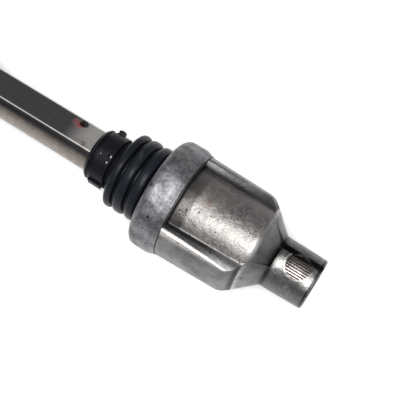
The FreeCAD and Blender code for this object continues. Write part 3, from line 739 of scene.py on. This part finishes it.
def drawn_finish(tints):
    """The double-D bar: dark drawn skin, bright edges, a rubbed end by the boot and a red mark."""
    finish = Finish("Drawn bar", "bar_steel", tints.drawn)
    x = finish.x
    streaks = finish.noise(0.0006, 5.0, 0.6, stretch=(0.05, 1, 1))
    cloud = finish.noise(0.0050, 5.0, 0.64)
    skin = finish.noise(0.0011, 5.0, 0.66)
    over, beside = finish.across(FLAT_TURN), finish.across(FLAT_TURN + 90)
    # Painted highlight along the bar's edges.
    edge = over.absolute().near(BAR_FLAT, 0.00035) * beside.absolute().near(BAR_EDGE, 0.0005)
    side = beside.absolute().step(0.0065, 0.0068)
    # Painted dark reflection in a band beside the bar's edges.
    band = side * over.absolute().near(0.0058, 0.0026)
    rubbed = x.step(-0.1270, -0.1150) * (cloud * 0.75 + skin * 0.45).step(0.38, 0.60)
    finish.paint(streaks.step(0.38, 0.7) * 0.35, shade(tints.drawn, 1.5))
    finish.paint(side * (0.95 - band), tints.side)
    finish.paint(side * skin.step(0.5, 0.66) * (1 - band) * 0.5, tints.side_fleck)
    finish.paint(band * 0.9, tints.side_dark_reflection)
    finish.paint(rubbed * (1 - side) * 0.9, tints.worn)
    finish.paint(edge * 0.95, tints.edge)
    ragged = (cloud * 0.9 + skin * 0.3 - 0.25).step(0.15, 0.45)
    on_flat = over.step(0.0062, 0.0068)
    blot = x.near(-0.1232, 0.0052) * beside.near(-0.0032, 0.0038) * on_flat
    soot = x.near(-0.1211, 0.0036) * beside.near(-0.0044, 0.0030) * on_flat
    flecks = x.near(-0.1240, 0.0500) * finish.across(FLAT_TURN + 135).near(0.0085, 0.0030)
    flecks = flecks * cloud.step(0.58, 0.68) * side
    red = (blot * 1.7 * ragged).step(0.3, 0.85)
    black = (soot * 1.9 * ragged).step(0.25, 0.8)
    finish.paint(red * 0.9, tints.mark)
    finish.paint(black * 0.9, tints.grime_and_shade)
    finish.paint(flecks * 0.35, tints.mark)
    finish.dent(streaks, 0.35, 0.00015)
    finish.dent(skin, 0.3, 0.0002)
    rough = streaks * 0.16 + 0.30 + (red + black).step(0, 1) * 0.25 + rubbed * 0.08
    return finish.surface(rough, 0.95 - red * (1 - black) * 0.8)


def tube_finish(tints):
    """The tube's thin dark coat with drawing lines and rubbed spots."""
    finish = Finish("Coated tube", "bar_steel", tints.tube)
    streaks = finish.noise(0.0008, 5.0, 0.6, stretch=(0.06, 1, 1))
    peel = finish.noise(0.0014, 3.0, 0.5)
    rubs = finish.noise(0.011, 5.0, 0.65, stretch=(0.4, 1, 1)).step(0.60, 0.70)
    finish.paint(streaks.step(0.4, 0.7) * 0.4, shade(tints.tube, 1.5))
    finish.paint(rubs * 0.5, tints.tube_rub)
    finish.dent(peel * 0.7 + streaks * 0.3, 0.35, 0.0003)
    rough = streaks * 0.15 + 0.34 + rubs * 0.08
    return finish.surface(rough, rubs * 0.6 + 0.25, {"Coat Weight": 0.2})


def ground_finish(tints):
    """Ground bearing steel with fine lines under an oily film."""
    finish = Finish("Ground steel", "bearing_steel", tints.ground)
    lines = finish.noise(0.0004, stretch=(1, 0.2, 1))
    film = finish.noise(0.006)
    finish.paint(film.step(0.42, 0.72) * 0.6, shade(tints.ground, 0.6))
    finish.dent(lines, 0.3, 0.00012)
    return finish.surface(film * 0.16 + lines * 0.12 + 0.26, 1.0)


def spring_finish(tints):
    """Hardened spring steel with heat tints."""
    finish = Finish("Spring steel", "spring_steel", tints.spring)
    streaks = finish.noise(0.0015, 5.0, 0.6)
    heat = finish.noise(0.012, 2.0, 0.5)
    finish.paint(heat.step(0.45, 0.7), tints.spring_heat)
    finish.dent(streaks, 0.25, 0.0002)
    return finish.surface(streaks * 0.2 + 0.3, 1.0)


def plated_finish(tints):
    """Zinc plate that has gone dull in clouds."""
    finish = Finish("Zinc plate", "plated_steel", tints.plated)
    cloud = finish.noise(0.004)
    fine = finish.noise(0.0006)
    finish.paint(cloud.step(0.4, 0.7), tints.plated_dull)
    finish.dent(fine, 0.35, 0.00015)
    return finish.surface(cloud * 0.15 + fine * 0.1 + 0.25, 1.0)


def band_finish(tints):
    """Glossy black coating, uneven from hammering, with small rubbed spots and painted glints."""
    finish = Finish("Coated band", "band_steel", tints.band)
    chips = finish.noise(0.0020, shift=(0.012, 0, 0.004)).step(0.66, 0.70)
    wave = finish.noise(0.0022)
    # Painted glints at the listed marks, over the bare chips.
    chips = (chips * 0.4 + finish.marks(BAND_GLINTS) * 1.5 * wave).step(0.35, 0.75)
    finish.paint(chips * 0.9, tints.band_chip_and_glint)
    finish.dent(wave - chips * 0.3, 0.6, 0.0008)
    return finish.surface(wave * 0.2 + 0.30, chips * 0.8, {"Specular IOR Level": 0.10})


def rubber_finish(tints, name, slot):
    """Black moulded rubber, dull in the grooves and glossier on the folds, with dust and painted
    sheen on their tops.
    """
    finish = Finish(name, slot, tints.rubber)
    cloud = finish.noise(0.006)
    skin = finish.noise(0.0009, 5.0, 0.65)
    scuffs = finish.noise(0.0022, 5.0, 0.7, stretch=(1, 0.4, 0.4)).step(0.58, 0.72)
    top = finish.radius().step(0.0166, 0.0176)
    # Dust and painted sheen on the tops of the folds.
    finish.paint(top * (cloud * 0.7 + 0.25), tints.bloom_and_sheen)
    finish.paint(scuffs * top * 0.3, tints.scuff)
    finish.dent(cloud, 0.5, 0.0010)
    finish.dent(skin, 0.35, 0.0002)
    return finish.surface(0.32 - top * 0.06 + skin * 0.14, 0.0, {"Specular IOR Level": 0.09})


def liner_finish(tints):
    """Pale plastic with greasy patches."""
    finish = Finish("Liner plastic", "liner_plastic", tints.liner)
    cloud = finish.noise(0.004)
    fine = finish.noise(0.0008, 3.0, 0.5)
    finish.paint(cloud.step(0.5, 0.75) * 0.5, tints.liner_dirt)
    finish.dent(fine, 0.25, 0.0002)
    return finish.surface(cloud * 0.12 + 0.42)


class SHAFT_OT_metal(bpy.types.Operator):
    """Put the metal and plastic finishes on the CAD pieces"""
    bl_idname = "shaft.metal"
    bl_label = "Metal finishes"

    def execute(self, context):
        tints = context.scene.shaft_tints
        forged_finish(tints).put_on("joint_housing")
        yoke_finish(tints).put_on("tube_yoke", "clamp_yoke")
        pressed_finish(tints).put_on("housing_cover", "retaining_plate")
        drawn_finish(tints).put_on("inner_shaft")
        tube_finish(tints).put_on("outer_tube")
        ground_finish(tints).put_on(
            "spring_cup", "bearing_block_left", "bearing_block_right", "cross_pin", "u_joint_cross",
            "bearing_cap_left", "bearing_cap_right", "bearing_cap_top", "bearing_cap_bottom")
        spring_finish(tints).put_on(
            "block_washers", "tube_yoke_snap_rings", "clamp_yoke_snap_rings")
        rubber_finish(tints, "Seal rubber", "seal_rubber").put_on("cap_seals")
        liner_finish(tints).put_on("slip_liner")
        return {"FINISHED"}


class SHAFT_OT_boot(bpy.types.Operator):
    """Make the rubber bellows as three lengths that meet on the tops of its folds"""
    bl_idname = "shaft.boot"
    bl_label = "Boot"

    def execute(self, context):
        sizes = context.scene.shaft_boot
        finish = rubber_finish(context.scene.shaft_tints, "Boot rubber", "boot_rubber")
        outer, inner = self.outlines(sizes)
        bead_start = sizes.bead_front - sizes.bead_thickness * 3
        front, second, third, end = (
            sizes.bead_front, sizes.second_ridge, sizes.third_ridge, sizes.neck_end)
        # Name, front, back, first and last body, and where it bends between the two.
        lengths = (
            ("boot_bead_folds", front, second, "pot", "thrust_seat", bead_start, second),
            ("boot_middle_fold", second, third, "thrust_seat", "block_carriage", second, third),
            ("boot_neck", third, end, "block_carriage", "lower_shaft", third, sizes.cone_end),
        )
        for name, front, back, first, last, start, end in lengths:
            outside, inside = (self.part_of(outline, front, back) for outline in (outer, inner))
            piece = turn_on_lathe(name, outside + inside[::-1] + outside[:1], sides=144)
            smooth_by_angle(50)
            finish.coat(piece)
            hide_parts("dust_boot")
            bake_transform(piece)
        return {"FINISHED"}

    def part_of(self, outline, front, back):
        """The points of an outline that lie between two places along X."""
        slack = 1e-7
        return [(x, radius) for x, radius in outline if back - slack <= x <= front + slack]

    def outlines(self, sizes):
        """The outside and the inside as (x, radius) points, from the bead to the neck's end."""
        wall, groove, neck = sizes.wall, sizes.groove_radius, sizes.neck_radius
        edge, dip, flat = 0.0002, 0.0003, 0.00018
        front, bead, bead_back = (
            sizes.bead_front, sizes.bead_radius, sizes.bead_front - sizes.bead_thickness)
        throat, throat_end = sizes.throat_radius, sizes.first_ridge + sizes.ridge_half + 0.0006
        outer = [
            (front, bead - edge), (front - edge, bead),
            (bead_back + edge, bead), (bead_back, bead - edge),
            (bead_back, throat), (throat_end, throat - dip)]
        inner = [(front, throat - wall), (throat_end, throat - wall - dip)]
        folds = (
            (sizes.first_ridge, sizes.ridge_half), (sizes.second_ridge, sizes.ridge_half),
            (sizes.third_ridge, sizes.last_ridge_half))
        fold_steps, cone_steps = 14, 8
        for middle, half in folds:
            for i in range(fold_steps + 1):
                across = math.cos(math.pi * i / fold_steps)
                rise = (1 - abs(across) ** sizes.squareness) ** (1 / sizes.squareness)
                radius = between(groove, sizes.ridge_radius, rise)
                outer.append((middle + half * across, radius))
                inner.append((middle + half * across, radius - wall))
            outer.append((middle - half - flat, groove - edge))
            inner.append((middle - half - flat, groove - wall))
        cone_start = outer[-1][0]
        for i in range(1, cone_steps + 1):
            share = i / cone_steps
            ease = share * share * (3 - 2 * share)
            x = between(cone_start, sizes.neck_start, share)
            outer.append((x, between(groove - edge, neck, ease)))
            inner.append((x, between(groove - wall, sizes.neck_bore, ease)))
        lip, lip_start, end = sizes.lip_radius, sizes.lip_start, sizes.neck_end
        taper, curve = sizes.lip_taper, 0.0004
        outer += [
            (lip_start, neck), (lip_start - curve, lip - 0.0001), (lip_start - 2 * curve, lip),
            (end + curve, lip - taper * 0.6), (end + curve / 3, lip - taper * 0.8),
            (end, lip - taper)]
        inner.append((end, sizes.neck_bore))
        return outer, inner


class SHAFT_OT_band(bpy.types.Operator):
    """Make the band on the boot's neck, with its pinched ear and its lock"""
    bl_idname = "shaft.band"
    bl_label = "Boot band"

    def execute(self, context):
        sizes = context.scene.shaft_band
        front, back = sizes.middle + sizes.width / 2, sizes.middle - sizes.width / 2
        bore, top, edge = sizes.bore, sizes.bore + sizes.thickness, 0.0002
        ring = turn_on_lathe("boot_band", [
            (front, bore), (front, top - edge), (front - edge, top), (back + edge, top),
            (back, top - edge), (back, bore), (front, bore)], sides=144)
        band = join("boot_band", ring, self.ear(sizes, top), self.lock(sizes, top))
        smooth_by_angle(40)
        band_finish(context.scene.shaft_tints).coat(band)
        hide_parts("boot_clamp")
        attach(band, "lower_shaft")
        return {"FINISHED"}

    def ear(self, sizes, top):
        """The pinched ear: a loop that is narrower at its foot than on top."""
        half_thick = sizes.thickness / 2
        ear = add_block(
            "ear", (sizes.width - 0.0006, half_thick + 0.0001, sizes.ear_span * 0.8),
            (sizes.middle, top - half_thick / 2, 0))
        for rise, spread in ((0.45, 1.22), (0.30, 1.02), (0.15, 0.84)):
            select_top(ear)
            extrude((0, sizes.ear_height * rise, 0), (1, 1, spread), (sizes.middle, 0, 0))
            bpy.ops.object.mode_set(mode="OBJECT")
        round_edges(0.00022, 3, 25)
        turn_about_shaft(ear, sizes.ear_turn)
        return ear

    def lock(self, sizes, top):
        """The lock that the band's end goes through: a low rounded knob."""
        low, high = top - sizes.thickness / 2, top + sizes.lock_height
        lock = add_block(
            "lock", (sizes.lock_length, high - low, sizes.lock_span),
            (sizes.middle - sizes.lock_shift, (low + high) / 2, 0))
        select_top(lock)
        bpy.ops.mesh.inset(thickness=sizes.lock_round * 0.6)
        extrude((0, sizes.lock_round * 0.4, 0))
        bpy.ops.object.mode_set(mode="OBJECT")
        round_edges(sizes.lock_round, 5, 40)
        turn_about_shaft(lock, sizes.lock_turn)
        return lock


class SHAFT_OT_spring(bpy.types.Operator):
    """Wind the thrust spring as one fixed coil; the real spring shortens as the shaft slides into
    the pot
    """
    bl_idname = "shaft.spring"
    bl_label = "Thrust spring"

    def execute(self, context):
        sizes = context.scene.shaft_spring
        wire, corners = sizes.wire_radius, 16
        section = [
            (wire * math.cos(math.tau * i / corners),
             sizes.coil_radius + wire * math.sin(math.tau * i / corners)) for i in range(corners)]
        pitch = (sizes.end - sizes.start) / sizes.turns
        spring = wind("thrust_coil", section, sizes.start, pitch, sizes.turns, steps=40)
        smooth_by_angle(50)
        spring_finish(context.scene.shaft_tints).coat(spring)
        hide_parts("thrust_spring")
        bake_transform(spring)
        return {"FINISHED"}


class SHAFT_OT_bolt(bpy.types.Operator):
    """Make the pinch bolt and its nut, with chamfers and a thread"""
    bl_idname = "shaft.bolt"
    bl_label = "Pinch bolt and nut"

    def execute(self, context):
        sizes = context.scene.shaft_bolt
        finish = plated_finish(context.scene.shaft_tints)
        upright = Matrix.Translation(sizes.place) @ Matrix.Rotation(math.pi / 2, 4, "Z")
        for piece, node in ((self.bolt(sizes), "pinch_bolt"), (self.nut(sizes), "pinch_nut")):
            piece.data.transform(upright)
            finish.coat(piece)
            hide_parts(node)
            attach(piece, "upper_clamp")
        return {"FINISHED"}

    def bolt(self, sizes):
        """The bolt along X: a turned shank with its flange, a head and a thread."""
        face, radius, flange = sizes.lug_face, sizes.shank_radius, sizes.flange_radius
        flange_top = face + sizes.flange_height
        end = -face - sizes.nut_height - sizes.tail
        core, edge, chamfer, axis = radius - sizes.depth, 0.0002, 0.0004, 1e-5
        thread_start, run_out = -0.006, 0.001
        shank = turn_on_lathe("shank", [
            (end, axis), (end, core - chamfer), (end + chamfer, core),
            (thread_start - run_out, core), (thread_start, radius), (face, radius),
            (face, flange - edge), (face + edge, flange),
            (face + sizes.flange_height * 0.5, flange), (flange_top, flange - 0.0009),
            (flange_top, axis), (end, axis)], sides=96)
        head = self.head(sizes, face + sizes.flange_height * 0.6, face + sizes.head_height)
        half, foot, crest = sizes.pitch * 0.46, core - 5e-5, radius - 2e-5
        section = [(-half, foot), (-half * 0.15, crest), (half * 0.15, crest), (half, foot)]
        turns = int((thread_start - run_out - end) / sizes.pitch) - 1
        thread = wind("thread", section, end + sizes.pitch * 0.9, sizes.pitch, turns, steps=32)
        bolt = join("clamp_bolt", shank, head, thread)
        smooth_by_angle(35)
        return bolt

    def head(self, sizes, start, end):
        """The hexagon head: an extruded six-sided face with a dished top."""
        chamfer = 0.0005
        head = add_ring("head", 6, sizes.flats / math.sqrt(3), start, "NGON")
        edit_all()
        extrude((end - start - chamfer, 0, 0))
        extrude((chamfer, 0, 0), (1, 0.90, 0.90), (end, 0, 0))
        bpy.ops.mesh.inset(thickness=0.0016)
        extrude((-chamfer, 0, 0), (1, 0.9, 0.9), (end, 0, 0))
        face_outward()
        round_edges(0.0002, 2, 20)
        return head

    def nut(self, sizes):
        """A six-sided ring, turned off at both ends and countersunk."""
        radius, hole = sizes.flats / math.sqrt(3), sizes.shank_radius
        chamfer, sink = 0.0005, 0.0004
        near, far = -sizes.lug_face, -sizes.lug_face - sizes.nut_height
        nut = turn_on_lathe("clamp_nut", [
            (near, hole + sink), (near, radius * 0.90), (near - chamfer, radius),
            (far + chamfer, radius), (far, radius * 0.90), (far, hole + sink),
            (far + sink, hole), (near - sink, hole), (near, hole + sink)], sides=6)
        round_edges(0.0002, 2, 20)
        smooth_by_angle(35)
        return nut


class SHAFT_OT_stage(bpy.types.Operator):
    """Add the floor, the lamps, the sky and the camera at the picture's angle"""
    bl_idname = "shaft.stage"
    bl_label = "Stage"

    def execute(self, context):
        settings = context.scene.shaft_stage
        turn, low = self.axes(settings)
        self.add_camera(context, settings, turn, low)
        self.add_floor(settings)
        self.add_lamps(context, settings, turn)
        self.add_sky(context, settings)
        context.scene.view_settings.view_transform = "Standard"
        return {"FINISHED"}

    def axes(self, settings):
        """The camera's rotation, and the way square to the shaft and down in the picture."""
        slant, fall, roll = settings.slant, settings.fall, settings.roll
        along = Vector((
            math.cos(slant) * math.cos(fall), -math.cos(slant) * math.sin(fall), math.sin(slant)))
        low = Vector((-math.sin(fall), -math.cos(fall), 0))
        near = Vector((
            -math.sin(slant) * math.cos(fall), math.sin(slant) * math.sin(fall), math.cos(slant)))
        up = near * math.cos(roll) + low * math.sin(roll)
        left = near * math.sin(roll) - low * math.cos(roll)
        return Matrix((along, left, up)), low

    def add_camera(self, context, settings, turn, low):
        aim = Vector((settings.aim_x, 0, 0)) - turn @ low * settings.aim_offset
        data = bpy.data.cameras.new("Camera")
        data.angle = settings.field
        data.clip_start = settings.clip_start
        camera = bpy.data.objects.new("Camera", data)
        place = aim + turn.col[2] * settings.distance
        camera.matrix_world = Matrix.Translation(place) @ turn.to_4x4()
        context.scene.collection.objects.link(camera)
        context.scene.camera = camera

    def add_floor(self, settings):
        """A pale floor at the bottom of the CAD model's box."""
        deselect_all()
        bpy.ops.mesh.primitive_plane_add(size=settings.floor_width, location=(0, 0, cad_box[0].z))
        floor = name_piece("Floor")
        finish = Finish("Floor", None, settings.floor_tint)
        mottle = finish.noise(0.4, 2.0, 0.55)
        finish.paint(mottle, shade(settings.floor_tint, 0.99))
        finish.dent(mottle, 0.05, 0.0005)
        finish.surface(0.75)
        floor.data.materials.append(finish.material)

    def add_lamps(self, context, settings, turn):
        """A key lamp behind the camera and a fill lamp to its left."""
        right, up, back = turn.col
        aim = Vector((settings.aim_x, 0, 0))
        lamps = (
            ("Key", back + up * 0.05 - right * 0.05, "key"),
            ("Fill", back * 0.6 - right * 0.8 + up * 0.5, "fill"),
        )
        for name, direction, group in lamps:
            data = bpy.data.lights.new(name, "AREA")
            data.size = getattr(settings, group + "_size")
            data.energy = getattr(settings, group + "_power")
            lamp = bpy.data.objects.new(name, data)
            away = direction.normalized()
            place = Matrix.Translation(aim + away * getattr(settings, group + "_distance"))
            lamp.matrix_world = place @ away.to_track_quat("Z", "Y").to_matrix().to_4x4()
            context.scene.collection.objects.link(lamp)

    def add_sky(self, context, settings):
        world = bpy.data.worlds.new("Sky")
        world.use_nodes = True
        background = world.node_tree.nodes["Background"]
        background.inputs["Color"].default_value = (1, 1, 1, 1)
        background.inputs["Strength"].default_value = settings.sky_strength
        context.scene.world = world


class SHAFT_PT_panel(bpy.types.Panel):
    """Lists the operators in the sidebar"""
    bl_label = "Steering shaft"
    bl_space_type = "VIEW_3D"
    bl_region_type = "UI"
    bl_category = "Shaft"

    def draw(self, context):
        for operator in OPERATORS:
            self.layout.operator(operator.bl_idname)


OPERATORS = (
    SHAFT_OT_metal, SHAFT_OT_boot, SHAFT_OT_band, SHAFT_OT_spring, SHAFT_OT_bolt, SHAFT_OT_stage)
GROUPS = {
    "shaft_stage": StageSettings,
    "shaft_boot": BootSizes,
    "shaft_band": BandSizes,
    "shaft_spring": SpringSizes,
    "shaft_bolt": BoltSizes,
    "shaft_tints": FinishTints,
}
CLASSES = (*GROUPS.values(), *OPERATORS, SHAFT_PT_panel)


def register():
    for item in CLASSES:
        bpy.utils.register_class(item)
    for name, group in GROUPS.items():
        setattr(bpy.types.Scene, name, bpy.props.PointerProperty(type=group))


def unregister():
    for name in GROUPS:
        delattr(bpy.types.Scene, name)
    for item in reversed(CLASSES):
        bpy.utils.unregister_class(item)


def main():
    register()
    bpy.ops.shaft.metal()
    bpy.ops.shaft.boot()
    bpy.ops.shaft.band()
    bpy.ops.shaft.spring()
    bpy.ops.shaft.bolt()
    bpy.ops.shaft.stage()


if __name__ == "__main__":
    main()
